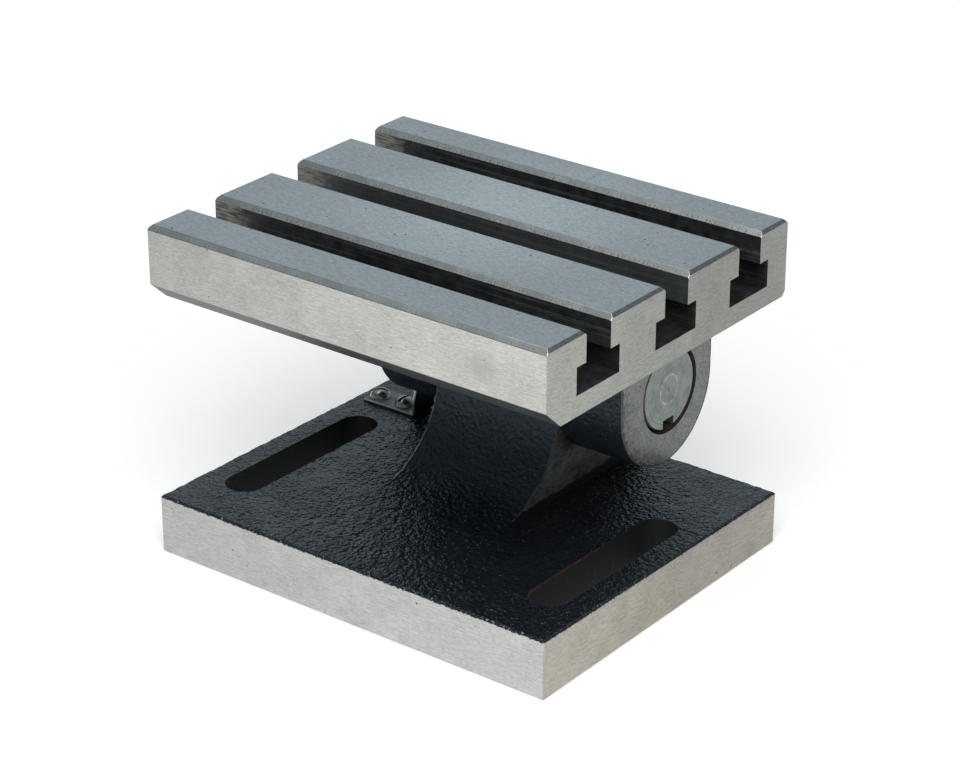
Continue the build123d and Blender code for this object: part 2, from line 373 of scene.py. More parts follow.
def bare_flank():
    """The pedestal's flank: dull grey iron, scratched, with rust and ragged paint along its foot."""
    material, tree, shader, place = new_material("bare_flank")
    xyz = apart(tree, place)
    lean = {"Vector": place, "Rotation": (radians(35), 0, 0), "Scale": (1, 1, 2.6)}
    leaning = add(tree, "Mapping", lean).outputs[0]
    scratch = grain(tree, leaning, 3.0 * mm, detail=5.0, roughness=0.7)
    clouds = grain(tree, place, 9 * mm, detail=3.0)
    mottle = scaled(tree, clouds, 0.4, times(tree, scratch, 0.6))
    dark = shade(0.024, 0.0255, 0.0255)
    light = shade(0.155, 0.155, 0.147)
    colour = mixed(tree, ramp(tree, mottle, 0.38, 0.62), dark, light)
    ragged = grain(tree, place, 3.5 * mm, detail=4.0, roughness=0.65)
    above = calc(tree, "SUBTRACT", xyz[2], base_front_top - 0.7 * mm)
    above = scaled(tree, ragged, -5.0 * mm, above)
    forward = ramp(tree, xyz[1], 20 * mm, 8 * mm)
    rust = times(tree, ramp(tree, above, 2.6 * mm, 0.4 * mm), ramp(tree, clouds, 0.28, 0.42))
    colour = mixed(tree, times(tree, rust, forward), colour, shade(0.22, 0.085, 0.048))
    colour = mixed(tree, ramp(tree, above, 0.5 * mm, 0.0), colour, shade(0.008, 0.010, 0.012))
    roughness = scaled(tree, mottle, 0.25, 0.36)
    finish_shader(tree, shader, colour, roughness, scratch, 0.25 * mm, metallic=0.3)
    return material


def clamp_slot_wall():
    """The clamping slots' walls: black iron, with a line of rust along the right slot's upper edge."""
    material, tree, shader, place = new_material("clamp_slot_wall")
    xyz = apart(tree, place)
    clouds = grain(tree, place, 5 * mm, detail=4.0)
    colour = mixed(tree, clouds, shade(0.004, 0.005, 0.0055), shade(0.012, 0.013, 0.0135))
    top = ramp(tree, xyz[2], base_front_top - 2.2 * mm, base_front_top - 1.2 * mm)
    rust = times(tree, top, ramp(tree, clouds, 0.45, 0.58))
    rust = times(tree, rust, ramp(tree, xyz[0], -10 * mm, 10 * mm))
    colour = mixed(tree, rust, colour, shade(0.12, 0.030, 0.016))
    glints = pits(tree, place, 330.0, 0.12)
    colour = mixed(tree, times(tree, glints, 0.5), colour, shade(0.30, 0.28, 0.20))
    roughness = scaled(tree, clouds, 0.2, 0.58)
    finish_shader(tree, shader, colour, roughness, clouds, 0.1 * mm)
    return material


PAINT, SIDE, END, FLANK, SLOT_WALL, EDGE = range(6)
cast_paint = black_paint()
# Painted shade makes the base's sides darker towards the left.
base_side = milled_iron(
    "base_side_iron", shade(0.65, 0.65, 0.64), shade(0.40, 0.40, 0.39), painted_shade_left=0.10, rim=True,
)
# Painted light makes the base's ends lighter towards the front.
base_end = milled_iron(
    "base_end_iron", shade(0.43, 0.41, 0.37), shade(0.25, 0.23, 0.195),
    painted_light_front=0.25, rim=True, chips=end_chips,
)


def bright_edge():
    """Edges rubbed bright by handling."""
    material, tree, shader, place = new_material("rubbed_edge")
    patchy = grain(tree, place, 3 * mm, detail=3.0)
    colour = mixed(tree, patchy, shade(0.24, 0.25, 0.25), shade(0.58, 0.59, 0.575))
    roughness = scaled(tree, patchy, 0.2, 0.2)
    finish_shader(tree, shader, colour, roughness, patchy, 0.02 * mm, metallic=1.0)
    return material


rubbed_edge = bright_edge()
base_bm = welded_copy("base")
for face in base_bm.faces:
    normal, middle = face.normal, face.calc_center_median()
    outer_x = abs(middle.x) > base_high.x - near
    outer_y = abs(middle.y) > base_high.y - near
    if outer_x and abs(normal.x) > 0.9:
        face.material_index = END
    elif (outer_y and abs(normal.y) > 0.9) or normal.z < -0.3:
        face.material_index = SIDE
    elif abs(normal.x) > 0.9 and abs(middle.x) < pedestal_half + near:
        face.material_index = FLANK
    elif abs(normal.z) < 0.1 and abs(middle.x) > pedestal_half + 5 * mm:
        face.material_index = SLOT_WALL
corners = [
    edge for edge in base_bm.edges
    if finishes_at(edge) == {SIDE, END} and edge_faces_differ(edge, radians(60))
]
round_edges(base_bm, corners, corner_round, EDGE)
cast_skin(base_bm, PAINT, base_ragged, {SLOT_WALL})
base_casting = piece_from(
    base_bm, "base_casting",
    [cast_paint, base_side, base_end, bare_flank(), clamp_slot_wall(), rubbed_edge],
)
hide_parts("base")
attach(base_casting, "base")

# Index pointer
# A strip of sheet steel bent up beside the left ear, its leg filed narrow towards the scale.
# It lies on the base's painted top under two screws, and a line is scribed on the leg over the hinge.
pointer_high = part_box("index_pointer")[1]
sheet_round = 0.35 * mm


def sheet_steel():
    """Dull rolled steel, the index line scribed dark, and the side by the ear coloured near-black."""
    material, tree, shader, place = new_material("sheet_steel")
    xyz = apart(tree, place)
    clouds = grain(tree, place, 4 * mm, detail=4.0, roughness=0.6)
    dark = shade(0.06, 0.061, 0.056)
    light = shade(0.19, 0.188, 0.17)
    colour = mixed(tree, ramp(tree, clouds, 0.3, 0.7), dark, light)
    from_line = calc(tree, "ABSOLUTE", calc(tree, "SUBTRACT", xyz[1], hinge.y))
    on_line = ramp(tree, from_line, 0.22 * mm, 0.12 * mm)
    scribed = times(tree, on_line, ramp(tree, xyz[2], 29 * mm, 30 * mm))
    colour = mixed(tree, scribed, colour, shade(0.02, 0.02, 0.02))
    # The side by the ear is coloured near-black.
    by_ear = ramp(tree, xyz[0], pointer_high.x - 0.3 * mm, pointer_high.x - 0.1 * mm)
    colour = mixed(tree, by_ear, colour, shade(0.012, 0.012, 0.012))
    roughness = scaled(tree, clouds, 0.25, 0.30)
    height = calc(tree, "SUBTRACT", clouds, times(tree, scribed, 4.0))
    finish_shader(tree, shader, colour, roughness, height, 0.03 * mm, metallic=0.9)
    return material


def sharp_edges(bm, angle):
    """The edges at which two faces turn by more than the angle."""
    return [edge for edge in bm.edges if edge_faces_differ(edge, angle)]


SHEET, RUBBED_AND_HIGHLIT_SHEET = range(2)
pointer_bm = welded_copy("index_pointer")
for face in pointer_bm.faces:
    # The foot's front edge takes the bright edge steel: partly a bared sheared edge, partly a painted
    # highlight.
    face.material_index = RUBBED_AND_HIGHLIT_SHEET if face.normal.y < -0.9 else SHEET
round_edges(pointer_bm, sharp_edges(pointer_bm, radians(50)), sheet_round, RUBBED_AND_HIGHLIT_SHEET)
index_pointer = piece_from(pointer_bm, "bent_pointer", [sheet_steel(), rubbed_edge])
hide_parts("index_pointer")
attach(index_pointer, "base")

# Index screws
# Two round-head screws of bright steel with sawn slots, each turned home where its slot happened
# to stop. They pass through the pointer's foot into tapped holes in the base.
screws_low, screws_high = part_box("index_screws")
screw_radius = 4.3 * mm
screw_rise = 3.2 * mm
screw_slot_width = 1.3 * mm
screw_slot_depth = 1.5 * mm
screw_turns = (32.0, 75.0)
screw_sink = 0.4 * mm
dome_steps = 10
part_weld = 0.002 * mm


def profile_edges(bm, points):
    """The edges that join the points of a turned piece's outline, in order."""
    verts = [bm.verts.new(point) for point in points]
    return [bm.edges.new(pair) for pair in zip(verts, verts[1:])]


def turned(bm, points, centre, axis, steps=72):
    """Turns an outline about an axis to a closed round piece."""
    outline = profile_edges(bm, points)
    verts = list(dict.fromkeys(vert for edge in outline for vert in edge.verts))
    bmesh.ops.spin(
        bm, geom=verts + outline, cent=centre, axis=axis, angle=2 * pi, steps=steps, use_merge=True,
        use_duplicate=False,
    )
    bmesh.ops.remove_doubles(bm, verts=bm.verts, dist=part_weld)
    bmesh.ops.recalc_face_normals(bm, faces=bm.faces)


def join_mesh(bm, mesh):
    """Adds a loose mesh to a piece that is being put together."""
    bm.from_mesh(mesh)
    bpy.data.meshes.remove(mesh)


def join_part(bm, part_bm):
    """Adds one part to a piece that is made of several."""
    part = bpy.data.meshes.new("part")
    part_bm.to_mesh(part)
    part_bm.free()
    join_mesh(bm, part)


def finished_mesh(holder):
    """An object's mesh, as its cuts or its letters leave it."""
    bpy.context.view_layer.update()
    depsgraph = bpy.context.evaluated_depsgraph_get()
    return bpy.data.meshes.new_from_object(holder.evaluated_get(depsgraph))


def cut_away(bm, cutter_bm):
    """Takes one solid mesh out of another, as a saw or a cutter does."""
    holders = []
    for name, solid in (("stock", bm), ("cutter", cutter_bm)):
        mesh = bpy.data.meshes.new(name)
        solid.to_mesh(mesh)
        holder = bpy.data.objects.new(name, mesh)
        bpy.context.scene.collection.objects.link(holder)
        holders.append(holder)
    stock, cutter = holders
    cut = stock.modifiers.new("cut", "BOOLEAN")
    cut.operation = "DIFFERENCE"
    cut.solver = "EXACT"
    cut.object = cutter
    left = finished_mesh(stock)
    bm.clear()
    join_mesh(bm, left)
    cutter_bm.free()
    for holder in holders:
        bpy.data.objects.remove(holder)
    bmesh.ops.remove_doubles(bm, verts=bm.verts, dist=part_weld)
    bm.normal_update()


def box_bm(middle, size, turn=Matrix.Identity(4)):
    """A rectangular block of the given size, turned about its middle."""
    bm = bmesh.new()
    scale = Matrix.Diagonal((*size, 1.0))
    bmesh.ops.create_cube(bm, size=1.0, matrix=Matrix.Translation(middle) @ turn @ scale)
    return bm


def screw_steel():
    """Polished steel, darkened by oil."""
    material, tree, shader, place = new_material("screw_steel")
    clouds = grain(tree, place, 1.6 * mm, detail=3.0)
    dark = shade(0.24, 0.255, 0.24)
    light = shade(0.50, 0.53, 0.49)
    colour = mixed(tree, ramp(tree, clouds, 0.35, 0.65), dark, light)
    roughness = scaled(tree, clouds, 0.14, 0.20)
    finish_shader(tree, shader, colour, roughness, clouds, 0.02 * mm, metallic=1.0)
    return material


SCREW_HEAD, SCREW_SLOT = range(2)
screws_bm = bmesh.new()
screw_seat = screws_high.z - screw_rise
screw_y = (screws_low.y + screws_high.y) / 2
dome_sphere = (screw_radius**2 + screw_rise**2) / (2 * screw_rise)
dome_half = atan2(screw_radius, dome_sphere - screw_rise)
for screw_x, turn in zip((screws_low.x + screw_radius, screws_high.x - screw_radius), screw_turns):
    one_bm = bmesh.new()
    middle = Vector((screw_x, screw_y, screw_seat))
    sphere_middle = middle + Vector((0, 0, screw_rise - dome_sphere))
    outline = []
    for step in range(dome_steps + 1):
        lean = dome_half * step / dome_steps
        outline.append(sphere_middle + dome_sphere * Vector((sin(lean), 0, cos(lean))))
    outline.append(middle + Vector((screw_radius, 0, -screw_sink)))
    outline.append(middle + Vector((0, 0, -screw_sink)))
    turned(one_bm, outline, middle, (0, 0, 1), steps=48)
    slot_size = (3 * screw_radius, screw_slot_width, 2 * screw_slot_depth)
    top = middle + Vector((0, 0, screw_rise))
    slot_turn = Matrix.Rotation(radians(turn), 4, "Z")
    cut_away(one_bm, box_bm(top, slot_size, slot_turn))
    across = slot_turn.to_3x3() @ Vector((0, 1, 0))
    for face in one_bm.faces:
        from_slot = [abs((vert.co - middle).dot(across)) for vert in face.verts]
        flat = max(from_slot) - min(from_slot) < cut_gap
        at_slot = abs(max(from_slot) - screw_slot_width / 2) < cut_gap
        face.material_index = SCREW_SLOT if flat and at_slot else SCREW_HEAD
    join_part(screws_bm, one_bm)
# The slots' walls take the near-black clamping-slot iron: dirt, and painted shade in the recess.
slot_dirt_and_shade = base_casting.data.materials[SLOT_WALL]
index_screws = piece_from(screws_bm, "round_head_screws", [screw_steel(), slot_dirt_and_shade], radians(35))
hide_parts("index_screws")
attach(index_screws, "base")

# Table
# One grey-iron casting: a T-slotted plate, ground on top and milled round its sides, with a hinge
# ear on each side of the pedestal. Underside and ears are painted black, the ears' ends faced bare.
table_low, table_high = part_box("table")
table_top = table_high.z
table_underside = 102.0 * mm
tee_floor = table_top - 22.5 * mm
chamfer_depth = 1.8 * mm
front_bevel = 8.0 * mm
bevel_rise = 7.3 * mm
ear_inside = 28.65 * mm
right_ear_end = 57.95 * mm
left_ear_end = 56.55 * mm
ear_radius = 29.1 * mm
ear_y = table_high.y - ear_radius
counterbore = 17.3 * mm
table_edge_round = 0.2 * mm
table_ragged = 0.08 * mm
front_stain = Vector((62.0, -73.0, 119.0)) * mm
# Middle of the painted reflection on the ground top.
painted_sheen_middle = Vector((5.0, 12.0, 132.0)) * mm


def ground_iron():
    """The ground top: satin blue-grey iron, painted brighter round its middle as a painted reflection,
    with a few black pits.
    """
    material, tree, shader, place = new_material("ground_top_iron")
    stretched = add(tree, "Mapping", {"Vector": place, "Scale": (0.25, 1, 1)}).outputs[0]
    lines = grain(tree, stretched, 0.7 * mm, detail=3.0, roughness=0.6)
    mottle = grain(tree, place, 1.1 * mm, detail=3.0, roughness=0.6)
    clouds = grain(tree, place, 34 * mm, detail=3.0)
    tone = scaled(tree, mottle, 0.5, times(tree, lines, 0.5))
    dark = shade(0.295, 0.317, 0.324)
    light = shade(0.44, 0.467, 0.475)
    colour = mixed(tree, ramp(tree, tone, 0.36, 0.64), dark, light)
    from_middle = distance(tree, place, painted_sheen_middle)
    # Painted reflection: the top is painted brighter round this middle, with a little random tone.
    painted_sheen = times(tree, ramp(tree, from_middle, 75 * mm, 10 * mm), 0.30)
    painted_sheen = scaled(tree, ramp(tree, clouds, 0.4, 0.62), 0.06, painted_sheen)
    colour = brightened(tree, colour, painted_sheen)
    holes = pits(tree, place, 300.0, 0.17)
    colour = mixed(tree, holes, colour, shade(0.03, 0.03, 0.03))
    roughness = scaled(tree, tone, 0.2, 0.26)
    height = calc(tree, "SUBTRACT", tone, times(tree, holes, 3.0))
    finish_shader(tree, shader, colour, roughness, height, 0.015 * mm, metallic=1.0)
    return material


def long_chamfer_iron():
    """The long chamfers: satin iron, ticked by the cutter's chatter, more faintly at the front."""
    material, tree, shader, place = new_material("long_chamfer_iron")
    xyz = apart(tree, place)
    along = add(tree, "CombineXYZ", {0: xyz[0], 1: times(tree, xyz[1], 0.3)}).outputs[0]
    ticks = grain(tree, along, 0.5 * mm, detail=0.0)
    clouds = grain(tree, place, 9 * mm, detail=3.0)
    broken = grain(tree, place, 1.0 * mm, detail=2.0)
    low = ramp(tree, xyz[2], table_top - 0.35 * chamfer_depth, table_top - 0.75 * chamfer_depth)
    tick = times(tree, ramp(tree, ticks, 0.46, 0.64), ramp(tree, broken, 0.30, 0.48))
    tick = times(tree, tick, scaled(tree, low, 0.45, 0.25))
    tick = times(tree, tick, ramp(tree, clouds, 0.28, 0.50))
    front_edge = ramp(tree, xyz[1], table_low.y + 2 * chamfer_depth, table_low.y + chamfer_depth)
    tick = times(tree, tick, scaled(tree, front_edge, -0.45, 1.0))
    dark = shade(0.48, 0.51, 0.505)
    light = shade(0.62, 0.65, 0.64)
    colour = mixed(tree, ramp(tree, clouds, 0.3, 0.7), dark, light)
    colour = brightened(tree, colour, times(tree, front_edge, 0.12))
    colour = mixed(tree, tick, colour, shade(0.12, 0.125, 0.125))
    roughness = scaled(tree, tick, 0.25, 0.36)
    height = calc(tree, "SUBTRACT", ticks, tick)
    finish_shader(tree, shader, colour, roughness, height, 0.03 * mm, metallic=1.0)
    return material


def end_chamfer_iron():
    """The finer chamfers of the ends: plain milled iron, a little dull."""
    material, tree, shader, place = new_material("end_chamfer_iron")
    mottle = grain(tree, place, 1.2 * mm, detail=3.0, roughness=0.6)
    dark = shade(0.30, 0.305, 0.305)
    light = shade(0.44, 0.45, 0.445)
    colour = mixed(tree, ramp(tree, mottle, 0.3, 0.7), dark, light)
    roughness = scaled(tree, mottle, 0.2, 0.3)
    finish_shader(tree, shader, colour, roughness, mottle, 0.02 * mm, metallic=1.0)
    return material


def slot_iron():
    """The T-slots' insides: oily black iron, greyer in the middle slot, painted pale beige at the left
    mouths as light falling in.
    """
    material, tree, shader, place = new_material("tee_slot_iron")
    xyz = apart(tree, place)
    marks = streaks(tree, place, 6.0 * mm, 0.7 * mm)
    clouds = grain(tree, place, 5 * mm, detail=4.0, roughness=0.6)
    dark = shade(0.012, 0.014, 0.016)
    light = shade(0.036, 0.038, 0.040)
    colour = mixed(tree, ramp(tree, clouds, 0.3, 0.7), dark, light)
    from_middle = calc(tree, "ABSOLUTE", calc(tree, "SUBTRACT", xyz[1], 2.1 * mm))
    wiped = times(tree, ramp(tree, from_middle, 20 * mm, 14 * mm), 0.5)
    wiped = times(tree, wiped, ramp(tree, xyz[2], table_top - 12.5 * mm, table_top - 11 * mm))
    colour = mixed(tree, wiped, colour, shade(0.075, 0.085, 0.092))
    scraped = times(tree, ramp(tree, streaks(tree, place, 90 * mm, 1.3 * mm), 0.54, 0.66), 0.55)
    colour = mixed(tree, scraped, colour, shade(0.10, 0.105, 0.105))
    # Painted light: the walls near the left mouths are painted pale beige, in streaks.
    reach = scaled(tree, clouds, 26 * mm, table_low.x + 2 * mm)
    painted_mouth_light = ramp(tree, calc(tree, "SUBTRACT", xyz[0], reach), 4 * mm, -8 * mm)
    painted_mouth_light = times(tree, painted_mouth_light, ramp(tree, marks, 0.36, 0.60))
    colour = mixed(tree, painted_mouth_light, colour, shade(0.215, 0.21, 0.175))
    specks = pits(tree, place, 300.0, 0.13)
    colour = mixed(tree, times(tree, specks, 0.6), colour, shade(0.22, 0.17, 0.12))
    roughness = scaled(tree, clouds, 0.25, 0.34)
    finish_shader(tree, shader, colour, roughness, marks, 0.08 * mm, metallic=0.3)
    return material


def bevel_iron():
    """The long bevel under the front edge: planed iron, its colour darkened as painted shade, paler
    along its upper edge.
    """
    material, tree, shader, place = new_material("front_bevel_iron")
    xyz = apart(tree, place)
    marks = streaks(tree, place, 9.0 * mm, 0.6 * mm)
    upper = ramp(tree, xyz[2], table_underside + bevel_rise - 2.2 * mm, table_underside + bevel_rise)
    # Painted shade: the bevel's colours are darker than the other milled faces'.
    dark = shade(0.058, 0.063, 0.068)
    light = shade(0.145, 0.15, 0.155)
    colour = mixed(tree, ramp(tree, marks, 0.3, 0.7), dark, light)
    colour = mixed(tree, times(tree, upper, 0.6), colour, shade(0.19, 0.175, 0.155))
    roughness = scaled(tree, marks, 0.2, 0.34)
    finish_shader(tree, shader, colour, roughness, marks, 0.05 * mm, metallic=0.6)
    return material


def faced_iron():
    """The ears' faced ends: dull mottled iron, pitted, the paint running raggedly over their rims,
    with smears and painted shade darkening the rims at the front.
    """
    material, tree, shader, place = new_material("faced_ear_iron")
    xyz = apart(tree, place)
    mottle = grain(tree, place, 0.6 * mm, detail=3.0, roughness=0.65)
    clouds = grain(tree, place, 9 * mm, detail=3.0)
    dark = shade(0.066, 0.071, 0.071)
    light = shade(0.21, 0.225, 0.22)
    colour = mixed(tree, ramp(tree, mottle, 0.34, 0.64), dark, light)
    pale = times(tree, ramp(tree, clouds, 0.3, 0.7), 0.35)
    colour = mixed(tree, pale, colour, shade(0.25, 0.265, 0.255))
    holes = pits(tree, place, 520.0, 0.26)
    colour = mixed(tree, holes, colour, shade(0.035, 0.033, 0.03))
    side = calc(tree, "SUBTRACT", xyz[1], ear_y)
    below = calc(tree, "MINIMUM", calc(tree, "SUBTRACT", xyz[2], hinge.z), 0.0)
    spot = add(tree, "CombineXYZ", {0: side, 1: below}).outputs[0]
    reach = add(tree, "VectorMath", {0: spot}, operation="LENGTH")
    inward = calc(tree, "SUBTRACT", ear_radius, reach.outputs["Value"])
    front = ramp(tree, side, 4 * mm, -18 * mm)
    runs = grain(tree, place, 2.0 * mm, detail=4.0, roughness=0.65)
    ragged = scaled(tree, runs, 5.0 * mm, -1.4 * mm)
    width = times(tree, ragged, scaled(tree, front, 1.0, 0.25))
    # Partly paint smear, partly painted shade: darker near the rim, most at the front.
    smear_and_shade = times(tree, ramp(tree, runs, 0.38, 0.62), ramp(tree, inward, 11 * mm, 1 * mm))
    smear_and_shade = times(tree, smear_and_shade, scaled(tree, front, 0.45, 0.1))
    colour = mixed(tree, smear_and_shade, colour, shade(0.035, 0.037, 0.04))
    paint = ramp(tree, calc(tree, "SUBTRACT", inward, width), 0.35 * mm, -0.05 * mm)
    colour = mixed(tree, paint, colour, shade(0.010, 0.012, 0.015))
    roughness = scaled(tree, mottle, 0.2, 0.28)
    proud = scaled(tree, paint, 2.0, mottle)
    height = calc(tree, "SUBTRACT", proud, times(tree, holes, 2.0))
    finish_shader(tree, shader, colour, roughness, height, 0.05 * mm)
    bare = calc(tree, "SUBTRACT", 1.0, paint)
    tree.links.new(bare, shader.inputs["Metallic"])
    return material


def bore_iron():
    """Bored iron, brown with old oil."""
    material, tree, shader, place = new_material("bore_iron")
    clouds = grain(tree, place, 3 * mm, detail=3.0)
    colour = mixed(tree, clouds, shade(0.04, 0.033, 0.027), shade(0.20, 0.155, 0.12))
    roughness = scaled(tree, clouds, 0.2, 0.4)
    finish_shader(tree, shader, colour, roughness, clouds, 0.03 * mm)
    return material


(
    CAST, GROUND, FRONT_BACK, ENDS, LONG_CHAMFER, END_CHAMFER,
    TEE, BEVEL, FACED, BORE, BARE, RUBBED,
) = range(12)
# Painted shade makes the table's front and back darker towards the left.
table_side = milled_iron(
    "table_side_iron", shade(0.645, 0.645, 0.62), shade(0.39, 0.39, 0.37),
    painted_shade_left=0.19, stain=front_stain,
)
# Painted light makes the table's ends lighter towards the front.
table_end = milled_iron(
    "table_end_iron", shade(0.34, 0.345, 0.32), shade(0.20, 0.20, 0.182), painted_light_front=0.34,
)
oily_bore = bore_iron()
table_bm = welded_copy("table")
bmesh.ops.bisect_plane(
    table_bm, geom=[*table_bm.faces, *table_bm.edges], dist=cut_gap,
    plane_co=(0, 0, table_underside), plane_no=(0, 0, 1),
)
bevel_top = table_underside + front_bevel
for vert in table_bm.verts:
    if vert.co.y < table_low.y + corner_round and abs(vert.co.z - bevel_top) < corner_round:
        vert.co.z = table_underside + bevel_rise
table_bm.normal_update()
for face in table_bm.faces:
    normal, middle = face.normal, face.calc_center_median()
    from_hinge = sqrt((middle.y - hinge.y) ** 2 + (middle.z - hinge.z) ** 2)
    within_ears = near - left_ear_end < middle.x < right_ear_end - near
    if normal.z > 0.9 and middle.z > table_top - near:
        face.material_index = GROUND
    elif normal.z > 0.3 and middle.z > table_top - chamfer_depth:
        face.material_index = END_CHAMFER if abs(normal.x) > 0.3 else LONG_CHAMFER
    elif abs(normal.x) > 0.9 and abs(middle.x) > table_high.x - near:
        face.material_index = ENDS
    elif abs(normal.y) > 0.9 and abs(middle.y) > table_high.y - near and middle.z > table_underside:
        face.material_index = FRONT_BACK
    elif middle.z > tee_floor - near:
        face.material_index = TEE
    elif normal.y < -0.3 and normal.z < -0.3 and middle.y < table_low.y + front_bevel:
        face.material_index = BEVEL
    elif from_hinge < counterbore + near and within_ears:
        face.material_index = BORE
    elif abs(normal.x) > 0.9 and not within_ears:
        face.material_index = FACED
    elif abs(normal.x) > 0.9 and abs(middle.x) < ear_inside + near:
        face.material_index = BARE
machined = {GROUND, FRONT_BACK, ENDS, LONG_CHAMFER, END_CHAMFER, BEVEL}
crisp = [
    edge for edge in table_bm.edges
    if finishes_at(edge) <= machined and edge_faces_differ(edge, radians(25))
]
round_edges(table_bm, crisp, table_edge_round, RUBBED)
cast_skin(table_bm, CAST, table_ragged)
table_casting = piece_from(
    table_bm, "table_casting",
    [
        cast_paint, ground_iron(), table_side, table_end, long_chamfer_iron(), end_chamfer_iron(),
        slot_iron(), bevel_iron(), faced_iron(), oily_bore,
        base_casting.data.materials[FLANK], rubbed_edge,
    ],
)
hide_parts("table")
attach(table_casting, "table")

# Angle scale
# Degree marks cut into the left ear's faced end and filled with black, read against the pointer.
# They run round the hinge from 30 degrees below level to 90 above it, with a number every 30 degrees.
scale_inner = 19.7 * mm
scale_short = 21.3 * mm
scale_long = 22.6 * mm
scale_numbers = 24.7 * mm
mark_width = 0.22 * mm
mark_proud = 0.03 * mm
number_height = 2.3 * mm
capital_share = 0.7
scale_plane = -left_ear_end


def on_scale(angle, radius):
    return Vector((scale_plane, hinge.y + radius * sin(angle), hinge.z - radius * cos(angle)))


def mark_fill():
    """Black filling in the cut marks."""
    material, tree, shader, place = new_material("mark_fill")
    clouds = grain(tree, place, 1.2 * mm, detail=2.0)
    colour = mixed(tree, clouds, shade(0.012, 0.012, 0.013), shade(0.04, 0.04, 0.04))
    roughness = scaled(tree, clouds, 0.2, 0.5)
    finish_shader(tree, shader, colour, roughness, clouds, 0.02 * mm)
    return material


scale_bm = bmesh.new()
for degrees in range(-30, 91, 5):
    angle = radians(degrees)
    outer = scale_long if degrees % 15 == 0 else scale_short
    size = (2 * mark_proud, mark_width, outer - scale_inner)
    middle = on_scale(angle, (outer + scale_inner) / 2)
    seat = Matrix.Translation(middle) @ Matrix.Rotation(angle, 4, "X")
    bmesh.ops.create_cube(scale_bm, size=1.0, matrix=seat @ Matrix.Diagonal((*size, 1.0)))
for degrees in range(-30, 91, 30):
    angle = radians(degrees)
    words = bpy.data.curves.new("number", "FONT")
    words.body = str(abs(degrees))
    words.size = number_height / capital_share
    words.align_x = "CENTER"
    words.align_y = "CENTER"
    words.extrude = mark_proud
    holder = bpy.data.objects.new("number", words)
    bpy.context.scene.collection.objects.link(holder)
    number = finished_mesh(holder)
    bpy.data.objects.remove(holder)
    upright = Matrix.Rotation(radians(90), 4, "X")
    outward = Matrix.Rotation(radians(-90), 4, "Z")
    seat = Matrix.Translation(on_scale(angle, scale_numbers))
    number.transform(seat @ Matrix.Rotation(angle, 4, "X") @ outward @ upright)
    join_mesh(scale_bm, number)
angle_scale = piece_from(scale_bm, "angle_scale", [mark_fill()])
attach(angle_scale, "table")

# Pivot bolt
# A turned steel bolt that is both the hinge and the clamp: its round head sits in the right ear with a
# notch for the key, its shank runs through the pedestal, and its left end is threaded for the nut.
bolt_low, bolt_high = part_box("pivot_bolt")
head_radius = 16.0 * mm
head_thickness = 10.0 * mm
head_chamfer = 0.5 * mm
shank_radius = 10.0 * mm
notch_width = 6.9 * mm
notch_depth = 4.1 * mm
centre_depth = 0.5 * mm
centre_radius = 0.9 * mm
groove_depth = 0.07 * mm
groove_half = 0.2 * mm
burnished_radius = 5.6 * mm
groove_radii = [radius * mm for radius in (2.4, 4.1, 6.6, 7.6, 9.8, 11.7, 13.6)]
thread_pitch = 2.5 * mm
thread_depth = 1.35 * mm
thread_turns = 3
thread_steps = 48
end_chamfer = 1.8 * mm


def turned_steel():
    """Lathe-turned steel: fine rings round the axis, one of them burnished, near the head's middle."""
    material, tree, shader, place = new_material("turned_steel")
    xyz = apart(tree, place)
    flat = add(tree, "CombineXYZ", {
        0: calc(tree, "SUBTRACT", xyz[1], hinge.y), 1: calc(tree, "SUBTRACT", xyz[2], hinge.z),
    }).outputs[0]
    radius = add(tree, "VectorMath", {0: flat}, operation="LENGTH").outputs["Value"]
    outward = add(tree, "CombineXYZ", {0: radius}).outputs[0]
    rings = grain(tree, outward, 0.5 * mm, detail=3.0, roughness=0.6)
    clouds = grain(tree, place, 3.5 * mm, detail=3.0)
    tone = scaled(tree, clouds, 0.45, times(tree, rings, 0.55))
    dark = shade(0.14, 0.162, 0.157)
    light = shade(0.25, 0.282, 0.272)
    colour = mixed(tree, ramp(tree, tone, 0.32, 0.68), dark, light)
    from_ring = calc(tree, "ABSOLUTE", calc(tree, "SUBTRACT", radius, burnished_radius))
    burnished = times(tree, ramp(tree, from_ring, 0.5 * mm, 0.15 * mm), ramp(tree, clouds, 0.35, 0.6))
    colour = mixed(tree, burnished, colour, shade(0.36, 0.39, 0.385))
    roughness = scaled(tree, rings, 0.2, 0.28)
    finish_shader(tree, shader, colour, roughness, rings, 0.02 * mm, metallic=1.0)
    return material


def on_axis(x, radius):
    return Vector((x, hinge.y, hinge.z + radius))


face_x = bolt_high.x
seat_x = face_x - head_thickness
thread_start = bolt_low.x + thread_turns * thread_pitch
bolt_outline = [on_axis(face_x - centre_depth, 0), on_axis(face_x, centre_radius)]
for radius in groove_radii:
    bolt_outline.append(on_axis(face_x, radius - groove_half))
    bolt_outline.append(on_axis(face_x - groove_depth, radius))
    bolt_outline.append(on_axis(face_x, radius + groove_half))
bolt_outline += [
    on_axis(face_x, head_radius - head_chamfer),
    on_axis(face_x - head_chamfer, head_radius),
    on_axis(seat_x, head_radius),
    on_axis(seat_x, shank_radius),
    on_axis(thread_start, shank_radius),
    on_axis(thread_start, shank_radius - thread_depth),
    on_axis(bolt_low.x, shank_radius - thread_depth),
    on_axis(bolt_low.x, 0),
]
bolt_bm = bmesh.new()
turned(bolt_bm, bolt_outline, hinge, (1, 0, 0), steps=96)
notch_middle = Vector((face_x - head_thickness / 2, hinge.y, hinge.z - head_radius))
cut_away(bolt_bm, box_bm(notch_middle, (2 * head_thickness, notch_width, 2 * notch_depth)))
thread_bm = bmesh.new()
